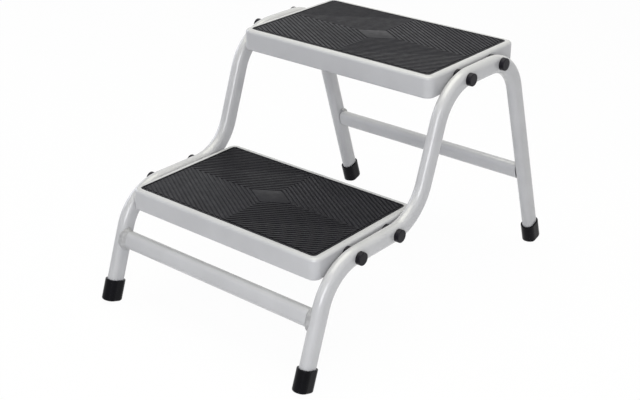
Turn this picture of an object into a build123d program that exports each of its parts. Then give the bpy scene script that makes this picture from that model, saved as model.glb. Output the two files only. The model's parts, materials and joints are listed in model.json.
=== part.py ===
from build123d import *

import os
from math import ceil, cos, hypot, radians, sin, tan

# Caravan entry step with two treads: bent flat-oval tube frames, pressed treads and ribbed rubber mats.
# +X is to the right of someone facing the step, +Y to the rear, +Z up. The origin is on the floor, half way
# between the left and right sides and between the front and rear ends of the feet. Sizes are millimetres.

# Steps: heights are of the walking surfaces, the run is from one tread's front to the next
LOWER_STEP_HEIGHT = 196.5
STEP_RISE = 204.5
STEP_RUN = 275.0

# Treads: pressed sheet pans, open underneath, with a shallow dish in the top for the mat
TREAD_WIDTH = 394.0
TREAD_DEPTH = 245.5
TREAD_HEIGHT = 36.0
SHEET = 1.5
TREAD_CORNER = 14.0
TREAD_TOP_ROUND = 5.5
TREAD_BOTTOM_ROUND = 2.5
TREAD_LIP = 9.0
TREAD_LIP_CORNER = 4.5

# Mats: a border lip, a groove inside it, then ribs in nested diamonds round a plain centre
MAT_MARGIN = 10.0
MAT_RECESS = 1.9
MAT_CLEARANCE = 0.2
MAT_CORNER = 7.0
MAT_BASE = 1.5
RIB_HEIGHT = 1.0
RIB_PITCH = 6.6
RIB_WIDTH = 3.8
MAT_LIP = 3.0
MAT_GROOVE = 2.0
PLAIN_CENTRE = 19.0

# Flat-oval tube of the side frames and crossbars
TUBE_DEPTH = 30.5
TUBE_WIDTH = 20.0
TUBE_WALL = 1.5
BEND_RADIUS = 85.0

# Side frames: slopes are from the vertical, setbacks are from the front of the tread at that level
FRONT_SLOPE = 19.5
REAR_SLOPE = 17.4
RUN_DROP = 16.2
FRONT_LEG_SETBACK = 15.8
RISE_SETBACK = 227.5
REAR_LEG_SETBACK = 210.5

# Crossbars and their welds
FRONT_BAR_HEIGHT = 105.5
REAR_BAR_HEIGHT = 149.0
WELD_GAP = 1.6
WELD_BEAD = 4.5

# Rubber feet: square at the bottom, with a flat cut on the lowest side to rest on the floor
FOOT_WALL = 3.0
FOOT_GRIP = 30.0
FOOT_CLEARANCE = 0.1
FOOT_ROUND = 3.5
FOOT_MOUTH_ROUND = 0.8
SOLE = 7.0
SOLE_FLAT = 14.0

# Bolted joints between treads and side frames
BOLT_SETBACK = 73.3
BOLT_SPACING = 95.5
BOLT_DIAMETER = 8.0
BOLT_CLEARANCE = 0.25
BOLT_TAIL = 2.5
HEX_ACROSS_FLATS = 13.0
BOLT_HEAD = 5.3
WASHER_DIAMETER = 16.0
WASHER = 1.6
NUT_HEIGHT = 8.0
NUT_COLLAR_DIAMETER = 11.5
NUT_COLLAR = 2.5
SPACER_LENGTH = 4.5
SPACER_DIAMETER = 22.0
CAP_DIAMETER = 21.0
CAP_LENGTH = 8.2
CAP_ROUND = 1.2
CAP_CLEARANCE = 0.1

# Sizes that follow from those above
MAT_THICKNESS = MAT_BASE + RIB_HEIGHT
MAT_WIDTH = TREAD_WIDTH - 2 * MAT_MARGIN
MAT_DEPTH = TREAD_DEPTH - 2 * MAT_MARGIN
LOWER_TREAD_TOP = LOWER_STEP_HEIGHT - MAT_THICKNESS + MAT_RECESS
FRAME_X = TREAD_WIDTH / 2 + SPACER_LENGTH + TUBE_WIDTH / 2
HOLE_RADIUS = BOLT_DIAMETER / 2 + BOLT_CLEARANCE
FRONT_LEAN = radians(FRONT_SLOPE)
REAR_LEAN = radians(-REAR_SLOPE)
FOOT_HALF = TUBE_DEPTH / 2 + FOOT_WALL
LEVELS = {"lower": 0, "upper": 1}
SIDES = {"left": -1, "right": 1}


def run_height(level):
    """Height of the tube's centre line beside a tread."""
    return LOWER_STEP_HEIGHT + level * STEP_RISE - RUN_DROP


def tube_end_height(lean):
    """Height of the end of a leg's centre line, where the foot's flat gets its length on the floor."""
    return SOLE * cos(lean) + (FOOT_HALF - SOLE_FLAT * cos(lean)) * abs(sin(lean))


def foot_reach(lean):
    """How far a foot's round lower edge reaches out from the end of the leg's centre line."""
    return (SOLE - FOOT_ROUND) * abs(sin(lean)) + (FOOT_HALF - FOOT_ROUND) * cos(lean) + FOOT_ROUND


def leg_spread(level, lean):
    """How far out a leg's lower end is from its upper corner."""
    return (run_height(level) - tube_end_height(lean)) * abs(tan(lean))


def front_overhang():
    """How far the front feet reach in front of the lower tread."""
    return leg_spread(0, FRONT_LEAN) - FRONT_LEG_SETBACK + foot_reach(FRONT_LEAN)


def rear_reach():
    """How far the rear feet reach behind the front of the lower tread."""
    return STEP_RUN + REAR_LEG_SETBACK + leg_spread(1, REAR_LEAN) + foot_reach(REAR_LEAN)


def tread_front(level):
    """Y of a tread's front face, with the feet's middle at zero."""
    return (front_overhang() - rear_reach()) / 2 + level * STEP_RUN


FRONT_CORNER = (tread_front(0) + FRONT_LEG_SETBACK, run_height(0))
RISE_FOOT = (tread_front(0) + RISE_SETBACK, run_height(0))
RISE_TOP = (RISE_FOOT[0] + STEP_RISE * tan(FRONT_LEAN), run_height(1))
REAR_CORNER = (tread_front(1) + REAR_LEG_SETBACK, run_height(1))
LEGS = {"front": (FRONT_CORNER, FRONT_LEAN), "rear": (REAR_CORNER, REAR_LEAN)}


def leg_axis(leg, height):
    """Y of a leg's centre line at a height."""
    (y, z), lean = LEGS[leg]
    return y - (z - height) * tan(lean)


def leg_end(leg):
    """Y and Z of the lower end of a leg's centre line."""
    height = tube_end_height(LEGS[leg][1])
    return leg_axis(leg, height), height


def leg_end_plane(leg, side):
    """Plane across the lower end of a leg: local Z runs up the leg, local X to the right."""
    lean = LEGS[leg][1]
    y, z = leg_end(leg)
    return Plane(origin=(across(side, FRAME_X), y, z), x_dir=(1, 0, 0), z_dir=(0, sin(lean), cos(lean)))


def oval(depth, width):
    """Flat-oval outline with its long side along local Y."""
    return SlotOverall(depth, width, rotation=90)


def tube_outside(extra=0.0):
    return oval(TUBE_DEPTH + 2 * extra, TUBE_WIDTH + 2 * extra)


def tube_inside():
    return oval(TUBE_DEPTH - 2 * TUBE_WALL, TUBE_WIDTH - 2 * TUBE_WALL)


def bolt_places(level):
    """Y and Z of the two bolts at each end of a tread."""
    first = tread_front(level) + BOLT_SETBACK
    return [(first, run_height(level)), (first + BOLT_SPACING, run_height(level))]


def across(side, distance):
    """X at a distance from the middle, on one side."""
    return SIDES[side] * distance


def outward_plane(side, distance, y, z):
    """Plane square to X, with local Z pointing away from the middle of the step."""
    return Plane(origin=(across(side, distance), y, z), x_dir=(0, 1, 0), z_dir=(SIDES[side], 0, 0))


def bolt_hole(side, inner, outer, y, z):
    """Cylinder to drill out for a bolt, between two distances from the middle."""
    return extrude(outward_plane(side, inner, y, z) * Circle(HOLE_RADIUS), outer - inner)


def tread_place(level):
    """Middle of a tread's top, level with its rim."""
    return Pos(0, tread_front(level) + TREAD_DEPTH / 2, LOWER_TREAD_TOP + level * STEP_RISE)


def frame_sweep(side, section):
    """A section swept along the bent centre line of one side frame."""
    x = across(side, FRAME_X)
    corners = [leg_end("front"), FRONT_CORNER, RISE_FOOT, RISE_TOP, REAR_CORNER, leg_end("rear")]
    path = FilletPolyline([(x, y, z) for y, z in corners], radius=BEND_RADIUS)
    return sweep(leg_end_plane("front", side) * section, path=path)


def side_frame(side):
    """One tube from the front foot to the rear foot, drilled through for the treads' bolts."""
    frame = frame_sweep(side, tube_outside()) - frame_sweep(side, tube_inside())
    for level in LEVELS.values():
        for y, z in bolt_places(level):
            frame -= bolt_hole(side, FRAME_X - TUBE_WIDTH, FRAME_X + TUBE_WIDTH, y, z)
    return frame


def bar_plane(leg, x):
    """Plane across a crossbar at a distance along it: local Y runs up the legs, local X to the rear."""
    height = {"front": FRONT_BAR_HEIGHT, "rear": REAR_BAR_HEIGHT}[leg]
    lean = LEGS[leg][1]
    origin = (x, leg_axis(leg, height), height)
    return Plane(origin=origin, x_dir=(0, cos(lean), -sin(lean)), z_dir=(1, 0, 0))


def bar_half_length():
    return FRAME_X - TUBE_WIDTH / 2 - WELD_GAP


def crossbar(leg):
    """Tube cut square at both ends, a root gap short of the legs."""
    section = tube_outside() - tube_inside()
    return extrude(bar_plane(leg, 0) * section, bar_half_length(), both=True)


def weld(leg, side):
    """Bead round the outer half of a crossbar's end: the front bar's front, the rear bar's back."""
    reach = WELD_GAP + TUBE_WIDTH / 2
    toe = bar_plane(leg, across(side, bar_half_length() - WELD_BEAD))
    root = bar_plane(leg, across(side, bar_half_length()))
    cone = loft([toe * tube_outside(), root * tube_outside(WELD_BEAD)])
    collar = extrude(root * tube_outside(WELD_BEAD), across(side, reach))
    bar_core = extrude(toe * tube_outside(), across(side, WELD_BEAD))
    size = 2 * TUBE_DEPTH + 4 * WELD_BEAD
    outer_half = {"front": Align.MAX, "rear": Align.MIN}[leg]
    keep = root * Box(size, size, size, align=(outer_half, Align.CENTER, Align.CENTER))
    return ((cone + collar) & keep) - bar_core - frame_sweep(side, tube_outside())


def foot(leg, side):
    """Rubber sleeve pushed on a leg, square at the bottom and cut flat where it rests on the floor."""
    base = leg_end_plane(leg, side)
    along_leg = Axis(base.origin, base.z_dir)
    body = extrude(base * Pos(0, 0, -SOLE) * tube_outside(FOOT_WALL), SOLE + FOOT_GRIP)
    body = fillet(body.faces().filter_by(along_leg).sort_by(along_leg)[0].edges(), FOOT_ROUND)
    body = fillet(body.faces().filter_by(along_leg).sort_by(along_leg)[-1].edges(), FOOT_MOUTH_ROUND)
    body = split(body, bisect_by=Plane.XY, keep=Keep.TOP)
    return body - extrude(base * tube_outside(FOOT_CLEARANCE), FOOT_GRIP + FOOT_WALL)


def inner_round(outer):
    """Radius inside a bend of the tread's sheet."""
    return max(outer - SHEET, SHEET / 4)


def rounded_pan(width, depth, height, corner, top_round, bottom_round):
    """Block with upright corners, top edge and bottom edge rounded, its top at zero."""
    block = extrude(RectangleRounded(width, depth, corner), -height)
    block = fillet(block.faces().sort_by(Axis.Z)[-1].edges(), top_round)
    return fillet(block.faces().sort_by(Axis.Z)[0].edges(), bottom_round)


def mat_dish(extra):
    """Dish that holds a mat, made wider all round, its top at zero."""
    spare = MAT_CLEARANCE + extra
    outline = RectangleRounded(MAT_WIDTH + 2 * spare, MAT_DEPTH + 2 * spare, MAT_CORNER + spare)
    return extrude(outline, -MAT_RECESS)


def tread(level):
    """Pressed pan with a dish for the mat, its lower edge turned in, and holes in its ends for the bolts."""
    pan = rounded_pan(
        TREAD_WIDTH, TREAD_DEPTH, TREAD_HEIGHT,
        TREAD_CORNER, TREAD_TOP_ROUND, TREAD_BOTTOM_ROUND,
    )
    hollow = rounded_pan(
        TREAD_WIDTH - 2 * SHEET, TREAD_DEPTH - 2 * SHEET, TREAD_HEIGHT - 2 * SHEET,
        inner_round(TREAD_CORNER), inner_round(TREAD_TOP_ROUND), inner_round(TREAD_BOTTOM_ROUND),
    )
    mouth = RectangleRounded(TREAD_WIDTH - 2 * TREAD_LIP, TREAD_DEPTH - 2 * TREAD_LIP, TREAD_LIP_CORNER)
    pan -= mat_dish(0)
    pan -= Pos(0, 0, -SHEET) * (hollow - mat_dish(SHEET))
    pan -= Pos(0, 0, -TREAD_HEIGHT) * extrude(mouth, 2 * SHEET, both=True)
    pan = tread_place(level) * pan
    for side in SIDES:
        for y, z in bolt_places(level):
            pan -= bolt_hole(side, TREAD_WIDTH / 2 - TREAD_CORNER, TREAD_WIDTH / 2 + TREAD_CORNER, y, z)
    return pan


def diamond(distance):
    """Diamond with the mat's own proportions, its sides at a distance from the centre."""
    half_x = distance * hypot(MAT_WIDTH, MAT_DEPTH) / MAT_DEPTH
    half_y = distance * hypot(MAT_WIDTH, MAT_DEPTH) / MAT_WIDTH
    return make_face(Polyline((half_x, 0), (0, half_y), (-half_x, 0), (0, -half_y), close=True))


def mat(level):
    """Rubber mat: a plate with a border lip, and ribs that follow nested diamonds out to the corners."""
    border = MAT_LIP + MAT_GROOVE
    outline = RectangleRounded(MAT_WIDTH, MAT_DEPTH, MAT_CORNER)
    inner = RectangleRounded(MAT_WIDTH - 2 * MAT_LIP, MAT_DEPTH - 2 * MAT_LIP, MAT_CORNER - MAT_LIP)
    field = Rectangle(MAT_WIDTH - 2 * border, MAT_DEPTH - 2 * border)
    corner_distance = MAT_WIDTH * MAT_DEPTH / hypot(MAT_WIDTH, MAT_DEPTH)
    ring_count = ceil((corner_distance - PLAIN_CENTRE - border) / RIB_PITCH)
    plate = extrude(outline, MAT_BASE)
    raised = [outline - inner]
    for ring in range(ring_count):
        start = PLAIN_CENTRE + ring * RIB_PITCH
        raised.append((diamond(start + RIB_WIDTH) - diamond(start)) & field)
    for shape in raised:
        plate += Pos(0, 0, MAT_BASE) * extrude(shape, RIB_HEIGHT)
    return tread_place(level) * Pos(0, 0, -MAT_RECESS) * plate


def hexagon(extra=0.0):
    return RegularPolygon(HEX_ACROSS_FLATS / 2 + extra, 6, major_radius=False)


def bolt(side, y, z):
    """Hexagon bolt with its head on the tube's outer face and its tail past the nut."""
    seat = outward_plane(side, FRAME_X + TUBE_WIDTH / 2, y, z)
    grip = TUBE_WIDTH + SPACER_LENGTH + SHEET + WASHER + NUT_HEIGHT + BOLT_TAIL
    head = extrude(seat * hexagon(), BOLT_HEAD)
    shank = extrude(seat * Circle(BOLT_DIAMETER / 2), -grip)
    return head + shank


def bolt_cap(side, y, z):
    """Round cap pressed over a bolt's head."""
    seat = outward_plane(side, FRAME_X + TUBE_WIDTH / 2, y, z)
    body = extrude(seat * Circle(CAP_DIAMETER / 2), CAP_LENGTH)
    outer_face = body.faces().sort_by(Axis.X)[-1 if side == "right" else 0]
    body = fillet(outer_face.edges(), CAP_ROUND)
    return body - extrude(seat * hexagon(CAP_CLEARANCE), BOLT_HEAD)


def spacer(side, y, z):
    """Ring between the tube and the end of the tread."""
    seat = outward_plane(side, TREAD_WIDTH / 2, y, z)
    return extrude(seat * (Circle(SPACER_DIAMETER / 2) - Circle(HOLE_RADIUS)), SPACER_LENGTH)


def washer(side, y, z):
    seat = outward_plane(side, TREAD_WIDTH / 2 - SHEET - WASHER, y, z)
    return extrude(seat * (Circle(WASHER_DIAMETER / 2) - Circle(HOLE_RADIUS)), WASHER)


def lock_nut(side, y, z):
    """Hexagon nut whose end away from the washer is a round collar."""
    seat = outward_plane(side, TREAD_WIDTH / 2 - SHEET - WASHER, y, z)
    body = extrude(seat * hexagon(), NUT_COLLAR - NUT_HEIGHT)
    collar = extrude(seat * Circle(NUT_COLLAR_DIAMETER / 2), -NUT_HEIGHT)
    return body + collar - extrude(seat * Circle(BOLT_DIAMETER / 2), -NUT_HEIGHT)


FASTENERS = {
    "bolts": bolt,
    "bolt_caps": bolt_cap,
    "spacers": spacer,
    "washers": washer,
    "lock_nuts": lock_nut,
}


def build():
    """Every sub-part by its node's name."""
    nodes = {}
    for side in SIDES:
        nodes[f"{side}_side_frame"] = side_frame(side)
    for leg in LEGS:
        nodes[f"{leg}_crossbar"] = crossbar(leg)
        for side in SIDES:
            nodes[f"{leg}_{side}_weld"] = weld(leg, side)
            nodes[f"{leg}_{side}_foot"] = foot(leg, side)
    for name, level in LEVELS.items():
        nodes[f"{name}_tread"] = tread(level)
        nodes[f"{name}_mat"] = mat(level)
        for side in SIDES:
            for kind, make in FASTENERS.items():
                pair = [make(side, y, z) for y, z in bolt_places(level)]
                nodes[f"{name}_{side}_{kind}"] = Compound(children=pair)
    return nodes


os.makedirs("parts", exist_ok=True)
for node, shape in build().items():
    export_step(shape, f"parts/{node}.step")
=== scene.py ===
import json
from math import atan2, ceil, cos, hypot, radians, sin

import bmesh
import bpy
from mathutils import Matrix, Vector


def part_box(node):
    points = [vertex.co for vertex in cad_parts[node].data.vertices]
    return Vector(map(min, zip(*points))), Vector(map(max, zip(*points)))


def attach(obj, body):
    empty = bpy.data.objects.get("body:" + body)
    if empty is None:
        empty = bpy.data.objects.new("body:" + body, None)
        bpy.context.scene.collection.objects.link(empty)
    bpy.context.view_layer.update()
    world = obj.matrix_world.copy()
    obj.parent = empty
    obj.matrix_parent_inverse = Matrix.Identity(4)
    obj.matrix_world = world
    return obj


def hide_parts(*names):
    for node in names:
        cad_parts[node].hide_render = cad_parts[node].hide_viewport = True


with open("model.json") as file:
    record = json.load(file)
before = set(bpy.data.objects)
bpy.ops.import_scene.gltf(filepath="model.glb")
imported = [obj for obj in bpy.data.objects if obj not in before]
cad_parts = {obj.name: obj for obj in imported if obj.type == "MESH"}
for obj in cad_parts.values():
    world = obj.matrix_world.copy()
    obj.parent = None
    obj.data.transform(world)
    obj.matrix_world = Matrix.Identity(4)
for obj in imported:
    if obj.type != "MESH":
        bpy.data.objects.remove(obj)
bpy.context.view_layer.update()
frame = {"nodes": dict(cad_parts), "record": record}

nodes = frame["nodes"]

# Camera: where the photograph was taken from, in metres and degrees, with lens and sensor in millimetres
CAMERA_TARGET = Vector((0.0707, -0.1166, 0.1965))
CAMERA_AZIMUTH = 39.83
CAMERA_ELEVATION = 25.50
CAMERA_DISTANCE = 1.9366
CAMERA_LENS = 68.0
CAMERA_SENSOR = 36.0

# Mats, in metres: a border lip, a groove inside it, then ribs in nested diamonds round a plain centre
MAT_CORNER = 0.007
MAT_LIP = 0.003
MAT_LIP_ROUND = 0.0008
MAT_GROOVE = 0.002
RIB_HEIGHT = 0.0012
RIB_WIDTH = 0.0040
RIB_PITCH = 0.0066
RIB_ROUND = 0.0004
RIB_SINK = 0.0003
PLAIN_CENTRE = 0.022

# Rounds on the mats: facets across a corner or an edge, a circular profile, no material of their own
CORNER_FACETS = 6
EDGE_FACETS = 3
ARC_PROFILE = 0.5
SAME_MATERIAL = -1

# Faces whose normal rises less than this are walls
WALL_RISE = 0.5

# Edges that bend more than this stay crisp, and points closer than this are one
CRISP_ANGLE = radians(40.0)
SAME_POINT = 0.00001

# Digits after the point, in metres, by which points and faces are put in order
PLACE_DIGITS = 6

# Silver paint: its colours, clear coat and flakes
PAINT_DARK = (0.461, 0.461, 0.476)
PAINT_LIGHT = (0.531, 0.531, 0.546)
PAINT_IOR = 1.5
COAT_WEIGHT = 0.6
COAT_ROUGHNESS = 0.10
FLAKE_SHARE = 0.45
FLAKE_START = 0.40
FLAKE_END = 0.62

# Paint on the weld beads: its colours, and how close the beads' ripples lie and how far they wander
BEAD_DARK = (0.34, 0.338, 0.344)
BEAD_LIGHT = (0.45, 0.448, 0.456)
BEAD_ROUGHNESS = (0.55, 0.75)
RIPPLE_SCALE = 125.0
RIPPLE_WANDER = 2.0
RIPPLE_DETAIL = 2.0

# Black rubber and plastic: refraction, and the tint of the sheen
BLACK_IOR = 1.47
COOL_SHEEN = (0.89, 0.87, 1.0)

# Zinc plating: its two tints, and how its fine marks are drawn out along the bolts
ZINC_BLUE = (0.50, 0.51, 0.55)
ZINC_STRAW = (0.63, 0.61, 0.56)
ZINC_ROUGHNESS = (0.24, 0.42)
DRAWN_OUT = (0.2, 1.0, 1.0)

# Grains of the finishes, in bumps a metre
PAINT_CLOUDS = 14.0
PAINT_PATCHES = 55.0
PAINT_PEEL = 620.0
PAINT_FLAKES = 2600.0
BLACK_BLOOM = 30.0
BLACK_PATCHES = 90.0
BLACK_DIMPLES = 140.0
BLACK_PIMPLES = 1500.0
BEAD_CLOUDS = 150.0
BEAD_LUMPS = 350.0
BEAD_PATCHES = 400.0
ZINC_CLOUDS = 160.0
ZINC_PATCHES = 400.0
ZINC_MARKS = 900.0

# Relief of the finishes: strength, and depth in metres
PEEL_RELIEF = (0.10, 0.0002)
FLAKE_RELIEF = (0.06, 0.0001)
DIMPLE_RELIEF = (0.08, 0.0006)
PIMPLE_DEPTH = 0.0003
RIPPLE_RELIEF = (0.35, 0.0006)
LUMP_RELIEF = (0.25, 0.0006)
MARK_RELIEF = (0.12, 0.0002)

# Light: a dim cool room, a broad warm lamp overhead, one near the camera and weak cool ones to the left
ROOM_LIGHT = 0.16
ROOM_TINT = (0.81, 0.84, 1.0)
TOP_LAMP = 43.5
FRONT_LAMP = 27.8
LEFT_LAMP = 11.5
FRONT_LEFT_LAMP = 2.2
WARM = (1.0, 0.993, 0.865)
DAYLIGHT = (0.965, 0.975, 1.0)
COOL = (0.80, 0.84, 1.0)
LAMP_AIM = Vector((0.0, 0.0, 0.2))

# White floor, just under the soles, and white backdrop: how much of each glows white to the camera
FLOOR_SIZE = 14.0
FLOOR_DROP = 0.0003
FLOOR_COLOUR = (0.88, 0.88, 0.88)
FLOOR_GLOW = 0.97
BACKDROP_GLOW = 1.0
WHITE = (1.0, 1.0, 1.0)
WHITE_STRENGTH = 1.0


def opaque(colour):
    """Colour with full cover, as the shaders take it."""
    return (*colour, 1.0)


def set_sockets(node, sockets):
    """Writes constants on a shader node's own sockets."""
    for name, value in sockets.items():
        node.inputs[name].default_value = value


def add_node(owner, kind, sockets=None, **settings):
    """A shader node in a material or world, with its sockets and settings given."""
    node = owner.node_tree.nodes.new("ShaderNode" + kind)
    for name, value in settings.items():
        setattr(node, name, value)
    set_sockets(node, sockets or {})
    return node


def link(owner, output, socket):
    """Joins a shader node's output to another's socket."""
    owner.node_tree.links.new(output, socket)


def new_finish(name, sockets):
    """Material whose shader has these constants on its own sockets."""
    finish = bpy.data.materials.new(name)
    finish.use_nodes = True
    shader = finish.node_tree.nodes["Principled BSDF"]
    set_sockets(shader, sockets)
    return finish, shader


def grain(finish, scale, detail=2.0, roughness=0.5, stretch=(1.0, 1.0, 1.0)):
    """Noise over the piece's own coordinates, with its scale in bumps a metre."""
    coordinates = add_node(finish, "TexCoord")
    mapping = add_node(finish, "Mapping", {"Scale": stretch})
    noise = add_node(finish, "TexNoise", {"Scale": scale, "Detail": detail, "Roughness": roughness})
    link(finish, coordinates.outputs["Object"], mapping.inputs["Vector"])
    link(finish, mapping.outputs["Vector"], noise.inputs["Vector"])
    return noise.outputs["Fac"]


def bead_ripples(finish):
    """Close ripples down a weld bead."""
    coordinates = add_node(finish, "TexCoord")
    ripples = add_node(
        finish,
        "TexWave",
        {"Scale": RIPPLE_SCALE, "Distortion": RIPPLE_WANDER, "Detail": RIPPLE_DETAIL},
        bands_direction="Z",
    )
    link(finish, coordinates.outputs["Object"], ripples.inputs["Vector"])
    return ripples.outputs["Fac"]


def tint(finish, pattern, dark, light, start=0.35, end=0.65):
    """Colour that runs from dark to light with a pattern."""
    ramp = add_node(finish, "ValToRGB")
    ramp.color_ramp.elements[0].position = start
    ramp.color_ramp.elements[1].position = end
    ramp.color_ramp.elements[0].color = opaque(dark)
    ramp.color_ramp.elements[1].color = opaque(light)
    link(finish, pattern, ramp.inputs["Fac"])
    return ramp.outputs["Color"]


def blend_tints(finish, first, second, share):
    """Mix of two colours, with the second one's share given."""
    mix = add_node(finish, "Mix", {"Factor": share}, data_type="RGBA", blend_type="MIX")
    link(finish, first, mix.inputs["A"])
    link(finish, second, mix.inputs["B"])
    return mix.outputs["Result"]


def spread(finish, pattern, limits, start=0.3, end=0.7):
    """Number that runs from a low to a high limit with a pattern."""
    low, high = limits
    ends = {"From Min": start, "From Max": end, "To Min": low, "To Max": high}
    scale = add_node(finish, "MapRange", ends)
    link(finish, pattern, scale.inputs["Value"])
    return scale.outputs["Result"]


def relief(finish, shader, patterns):
    """Bumps on the surface: patterns, each with its strength and its depth in metres."""
    normal = None
    for pattern, (strength, depth) in patterns:
        bump = add_node(finish, "Bump", {"Strength": strength, "Distance": depth})
        link(finish, pattern, bump.inputs["Height"])
        if normal is not None:
            link(finish, normal, bump.inputs["Normal"])
        normal = bump.outputs["Normal"]
    link(finish, normal, shader.inputs["Normal"])


def silver_paint(name, roughness):
    """Satin silver-grey powder paint: soft clouding, fine flakes and a faint orange peel."""
    finish, shader = new_finish(name, {
        "Metallic": 0.0,
        "IOR": PAINT_IOR,
        "Coat Weight": COAT_WEIGHT,
        "Coat Roughness": COAT_ROUGHNESS,
    })
    clouds = grain(finish, PAINT_CLOUDS, detail=3.0)
    flakes = grain(finish, PAINT_FLAKES, detail=1.0)
    patches = grain(finish, PAINT_PATCHES, detail=3.0)
    peel = grain(finish, PAINT_PEEL)
    cloud_tint = tint(finish, clouds, PAINT_DARK, PAINT_LIGHT)
    flake_tint = tint(finish, flakes, PAINT_DARK, PAINT_LIGHT, FLAKE_START, FLAKE_END)
    link(finish, blend_tints(finish, cloud_tint, flake_tint, FLAKE_SHARE), shader.inputs["Base Color"])
    link(finish, spread(finish, patches, roughness), shader.inputs["Roughness"])
    relief(finish, shader, [(peel, PEEL_RELIEF), (flakes, FLAKE_RELIEF)])
    return finish


def moulded_black(name, dark, light, roughness, pimple_strength, gloss):
    """Black moulded rubber or plastic: slight greying, patchy sheen and a fine leathery grain."""
    finish, shader = new_finish(name, {
        "Metallic": 0.0,
        "IOR": BLACK_IOR,
        "Specular IOR Level": gloss,
        "Specular Tint": opaque(COOL_SHEEN),
    })
    bloom = grain(finish, BLACK_BLOOM, detail=4.0, roughness=0.6)
    patches = grain(finish, BLACK_PATCHES, detail=3.0)
    pimples = grain(finish, BLACK_PIMPLES)
    dimples = grain(finish, BLACK_DIMPLES)
    link(finish, tint(finish, bloom, dark, light), shader.inputs["Base Color"])
    link(finish, spread(finish, patches, roughness), shader.inputs["Roughness"])
    relief(finish, shader, [(pimples, (pimple_strength, PIMPLE_DEPTH)), (dimples, DIMPLE_RELIEF)])
    return finish


def painted_weld(name):
    """Paint over a weld bead: matte and uneven, with the bead's ripples and lumps."""
    finish, shader = new_finish(name, {"Metallic": 0.0, "IOR": PAINT_IOR})
    clouds = grain(finish, BEAD_CLOUDS, detail=3.0)
    patches = grain(finish, BEAD_PATCHES, detail=3.0)
    lumps = grain(finish, BEAD_LUMPS, detail=3.0)
    link(finish, tint(finish, clouds, BEAD_DARK, BEAD_LIGHT), shader.inputs["Base Color"])
    link(finish, spread(finish, patches, BEAD_ROUGHNESS), shader.inputs["Roughness"])
    relief(finish, shader, [(bead_ripples(finish), RIPPLE_RELIEF), (lumps, LUMP_RELIEF)])
    return finish


def zinc_plate(name):
    """Bright zinc plating: faint clouds of blue and straw, and fine marks along the bolts."""
    finish, shader = new_finish(name, {"Metallic": 1.0})
    clouds = grain(finish, ZINC_CLOUDS, detail=3.0)
    patches = grain(finish, ZINC_PATCHES, detail=3.0)
    marks = grain(finish, ZINC_MARKS, stretch=DRAWN_OUT)
    link(finish, tint(finish, clouds, ZINC_BLUE, ZINC_STRAW), shader.inputs["Base Color"])
    link(finish, spread(finish, patches, ZINC_ROUGHNESS), shader.inputs["Roughness"])
    relief(finish, shader, [(marks, MARK_RELIEF)])
    return finish


FINISHES = {
    "frame_paint": silver_paint("frame_paint", roughness=(0.30, 0.40)),
    "tread_paint": silver_paint("tread_paint", roughness=(0.34, 0.44)),
    "weld_paint": painted_weld("weld_paint"),
    "mat_rubber": moulded_black(
        "mat_rubber",
        dark=(0.0022, 0.0022, 0.0031),
        light=(0.0042, 0.0042, 0.0056),
        roughness=(0.38, 0.50),
        pimple_strength=0.18,
        gloss=0.205,
    ),
    "foot_rubber": moulded_black(
        "foot_rubber",
        dark=(0.0014, 0.0014, 0.0018),
        light=(0.0030, 0.0030, 0.0036),
        roughness=(0.22, 0.32),
        pimple_strength=0.12,
        gloss=0.12,
    ),
    "black_plastic": moulded_black(
        "black_plastic",
        dark=(0.0040, 0.0036, 0.0052),
        light=(0.0068, 0.0062, 0.0088),
        roughness=(0.34, 0.46),
        pimple_strength=0.15,
        gloss=0.19,
    ),
    "zinc_steel": zinc_plate("zinc_steel"),
}


def finish_nodes():
    """Gives every node of the CAD model the finish of its slot."""
    for row in frame["record"]["subparts"]:
        for slot in nodes[row["node"]].material_slots:
            slot.material = FINISHES[row["material_slot"]]


def add_object(name, data):
    """Object in the scene that shows this data."""
    item = bpy.data.objects.new(name, data)
    bpy.context.scene.collection.objects.link(item)
    return item


def settle_order(mesh):
    """Puts a mesh's points and faces in an order that depends only on where they lie."""
    points = sorted(mesh.verts, key=lambda vert: vert.co.to_tuple(PLACE_DIGITS))
    faces = sorted(mesh.faces, key=lambda face: face.calc_center_median().to_tuple(PLACE_DIGITS))
    for index, vert in enumerate(points):
        vert.index = index
    for index, face in enumerate(faces):
        face.index = index
    mesh.verts.sort()
    mesh.faces.sort()


def add_piece(mesh, name, slot_name, node):
    """Closes a mesh and puts it in the scene in place of a CAD node."""
    bmesh.ops.remove_doubles(mesh, verts=mesh.verts[:], dist=SAME_POINT)
    bmesh.ops.recalc_face_normals(mesh, faces=mesh.faces[:])
    settle_order(mesh)
    for face in mesh.faces:
        face.smooth = True
    for edge in mesh.edges:
        edge.smooth = edge.is_manifold and edge.calc_face_angle() < CRISP_ANGLE
    data = bpy.data.meshes.new(name)
    mesh.to_mesh(data)
    mesh.free()
    data.materials.append(FINISHES[slot_name])
    piece = add_object(name, data)
    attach(piece, "root")
    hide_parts(node)


def whole(mesh):
    """All of a mesh, for the operators that take it so."""
    return mesh.verts[:] + mesh.edges[:] + mesh.faces[:]


def raise_face(mesh, face, height):
    """Pushes a face up or down on walls of its own, and gives the moved face."""
    moved = bmesh.ops.extrude_discrete_faces(mesh, faces=[face])["faces"][0]
    bmesh.ops.translate(mesh, vec=(0.0, 0.0, height), verts=moved.verts[:])
    return moved


def round_off(mesh, items, kind, radius, facets):
    """Rounds off some of a mesh's corners, or of its edges."""
    bmesh.ops.bevel(
        mesh,
        geom=items,
        offset=radius,
        segments=facets,
        profile=ARC_PROFILE,
        affect=kind,
        material=SAME_MATERIAL,
    )


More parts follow.
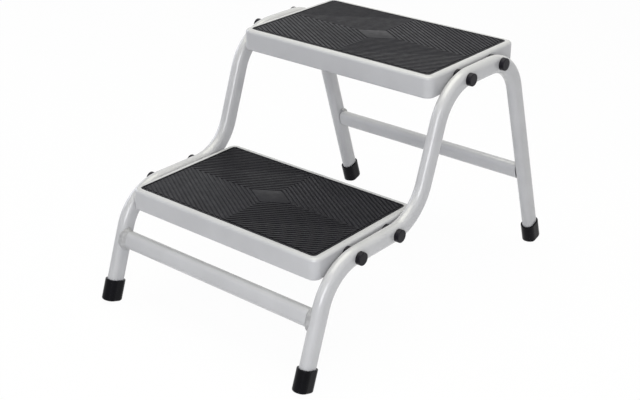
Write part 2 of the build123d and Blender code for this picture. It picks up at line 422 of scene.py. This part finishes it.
def bordered_plate(mesh, width, depth, thickness):
    """Mat's plate with round corners and a round-edged lip along its border, its underside at zero."""
    # A unit square, which the operator takes by half its side
    corners = bmesh.ops.create_grid(mesh, x_segments=1, y_segments=1, size=0.5)["verts"]
    bmesh.ops.scale(mesh, vec=(width, depth, 1.0), verts=corners)
    round_off(mesh, corners, "VERTICES", MAT_CORNER, CORNER_FACETS)
    mesh.faces.ensure_lookup_table()
    top = raise_face(mesh, mesh.faces[0], thickness)
    bmesh.ops.inset_region(mesh, faces=[top], thickness=MAT_LIP, use_even_offset=True)
    raise_face(mesh, top, -RIB_HEIGHT)
    bmesh.ops.holes_fill(mesh, edges=[edge for edge in mesh.edges if edge.is_boundary])
    mesh.normal_update()
    lip_edges = [
        edge for edge in mesh.edges
        if min(vert.co.z for vert in edge.verts) > thickness - SAME_POINT
        and min(abs(face.normal.z) for face in edge.link_faces) < WALL_RISE
    ]
    round_off(mesh, lip_edges, "EDGES", MAT_LIP_ROUND, EDGE_FACETS)


def trim(mesh, place, outward, close):
    """Cuts off what lies beyond a plane, and closes the cut ends if asked."""
    cut = bmesh.ops.bisect_plane(
        mesh,
        geom=whole(mesh),
        dist=SAME_POINT,
        plane_co=place,
        plane_no=outward,
        clear_outer=True,
    )
    if close:
        ends = [item for item in cut["geom_cut"] if isinstance(item, bmesh.types.BMEdge)]
        bmesh.ops.edgenet_fill(mesh, edges=ends)


def diamond_ribs(mesh, width, depth, floor):
    """Round-edged ribs along nested diamonds: one quarter is cut to the field and mirrored twice."""
    diagonal = hypot(width, depth)
    border = MAT_LIP + MAT_GROOVE
    ring_count = ceil((width * depth / diagonal - PLAIN_CENTRE - border) / RIB_PITCH)
    turn = Matrix.Rotation(atan2(width, depth), 4, "Z")
    bars = [(0.0, 2 * PLAIN_CENTRE)]
    for ring in range(ring_count):
        bars.append((PLAIN_CENTRE + (ring + 1) * RIB_PITCH - RIB_WIDTH / 2, RIB_WIDTH))
    for middle, bar_width in bars:
        size = Matrix.Diagonal((bar_width, 2 * diagonal, RIB_HEIGHT + RIB_SINK, 1.0))
        place = Matrix.Translation((middle, 0.0, floor + (RIB_HEIGHT - RIB_SINK) / 2))
        bmesh.ops.create_cube(mesh, size=1.0, matrix=turn @ place @ size)
    crests = [
        edge for edge in mesh.edges
        if edge.calc_length() > diagonal and min(vert.co.z for vert in edge.verts) > floor
    ]
    round_off(mesh, crests, "EDGES", RIB_ROUND, EDGE_FACETS)
    trim(mesh, place=(width / 2 - border, 0.0, 0.0), outward=(1.0, 0.0, 0.0), close=True)
    trim(mesh, place=(0.0, depth / 2 - border, 0.0), outward=(0.0, 1.0, 0.0), close=True)
    for axis, outward in (("X", (-1.0, 0.0, 0.0)), ("Y", (0.0, -1.0, 0.0))):
        trim(mesh, place=(0.0, 0.0, 0.0), outward=outward, close=False)
        bmesh.ops.mirror(mesh, geom=whole(mesh), matrix=Matrix.Identity(4), merge_dist=SAME_POINT, axis=axis)


def ribbed_mat(node):
    """Moulded rubber mat in place of the CAD model's plainer one."""
    low, high = (Vector(corner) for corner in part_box(node))
    width, depth, thickness = high - low
    mesh = bmesh.new()
    diamond_ribs(mesh, width, depth, thickness - RIB_HEIGHT)
    ribs = bpy.data.meshes.new("ribs")
    mesh.to_mesh(ribs)
    mesh.clear()
    bordered_plate(mesh, width, depth, thickness)
    mesh.from_mesh(ribs)
    bpy.data.meshes.remove(ribs)
    middle = (low + high) / 2
    bmesh.ops.translate(mesh, vec=(middle.x, middle.y, low.z), verts=mesh.verts[:])
    add_piece(mesh, f"{node}_rubber", "mat_rubber", node)


def white_to_camera(owner, plain, glowing, glow_share):
    """Shader that glows where the camera, a reflection or glass sees it, and stays plain for other light."""
    path = add_node(owner, "LightPath")
    seen = path.outputs["Is Camera Ray"]
    for ray in ("Is Glossy Ray", "Is Transmission Ray"):
        larger = add_node(owner, "Math", operation="MAXIMUM")
        link(owner, seen, larger.inputs[0])
        link(owner, path.outputs[ray], larger.inputs[1])
        seen = larger.outputs["Value"]
    share = add_node(owner, "Math", operation="MULTIPLY")
    share.inputs[1].default_value = glow_share
    link(owner, seen, share.inputs[0])
    mix = add_node(owner, "MixShader")
    link(owner, share.outputs["Value"], mix.inputs["Fac"])
    link(owner, plain, mix.inputs[1])
    link(owner, glowing, mix.inputs[2])
    return mix.outputs["Shader"]


def studio_room():
    """Room that lights the step dimly, with a backdrop that the camera sees as white."""
    world = bpy.data.worlds.new("studio_room")
    world.use_nodes = True
    room = world.node_tree.nodes["Background"]
    set_sockets(room, {"Color": opaque(ROOM_TINT), "Strength": ROOM_LIGHT})
    backdrop = add_node(world, "Background", {"Color": opaque(WHITE), "Strength": WHITE_STRENGTH})
    plain = room.outputs["Background"]
    glowing = backdrop.outputs["Background"]
    shader = white_to_camera(world, plain, glowing, BACKDROP_GLOW)
    link(world, shader, world.node_tree.nodes["World Output"].inputs["Surface"])
    bpy.context.scene.world = world


def studio_floor():
    """White floor that keeps a soft shadow."""
    finish = bpy.data.materials.new("studio_floor")
    finish.use_nodes = True
    parts = finish.node_tree.nodes
    parts.remove(parts["Principled BSDF"])
    matte = add_node(finish, "BsdfDiffuse", {"Color": opaque(FLOOR_COLOUR)})
    glow = add_node(finish, "Emission", {"Strength": WHITE_STRENGTH})
    shader = white_to_camera(finish, matte.outputs["BSDF"], glow.outputs["Emission"], FLOOR_GLOW)
    link(finish, shader, parts["Material Output"].inputs["Surface"])
    bpy.ops.mesh.primitive_plane_add(size=FLOOR_SIZE, location=(0.0, 0.0, -FLOOR_DROP))
    floor = bpy.context.active_object
    floor.name = "studio_floor"
    floor.data.materials.append(finish)


def put_facing(item, place, direction):
    """Puts a lamp or camera at a place and turns it to look along a direction."""
    item.location = place
    item.rotation_mode = "QUATERNION"
    item.rotation_quaternion = direction.to_track_quat("-Z", "Y")


def lamp(name, place, size, power, colour):
    """Broad soft lamp aimed at the middle of the step."""
    data = bpy.data.lights.new(name, "AREA")
    data.shape = "RECTANGLE"
    data.size, data.size_y = size
    data.energy = power
    data.color = colour
    put_facing(add_object(name, data), place, LAMP_AIM - Vector(place))


def camera():
    """Camera at the photograph's viewing angle."""
    azimuth = radians(CAMERA_AZIMUTH)
    elevation = radians(CAMERA_ELEVATION)
    back = Vector((sin(azimuth) * cos(elevation), -cos(azimuth) * cos(elevation), sin(elevation)))
    data = bpy.data.cameras.new("camera")
    data.lens = CAMERA_LENS
    data.sensor_width = CAMERA_SENSOR
    camera_object = add_object("camera", data)
    put_facing(camera_object, CAMERA_TARGET + back * CAMERA_DISTANCE, -back)
    bpy.context.scene.camera = camera_object


finish_nodes()
for level in ("lower", "upper"):
    ribbed_mat(f"{level}_mat")
studio_room()
studio_floor()
lamp("top_lamp", place=(0.0, 0.0, 2.2), size=(2.0, 2.0), power=TOP_LAMP, colour=WARM)
lamp("front_lamp", place=(1.5, -1.7, 1.0), size=(1.2, 1.2), power=FRONT_LAMP, colour=DAYLIGHT)
lamp("left_lamp", place=(-2.3, -0.2, 0.9), size=(1.4, 1.2), power=LEFT_LAMP, colour=COOL)
lamp("front_left_lamp", place=(-1.4, -1.9, 0.9), size=(1.2, 1.2), power=FRONT_LEFT_LAMP, colour=COOL)
camera()
bpy.context.scene.view_settings.view_transform = "Standard"
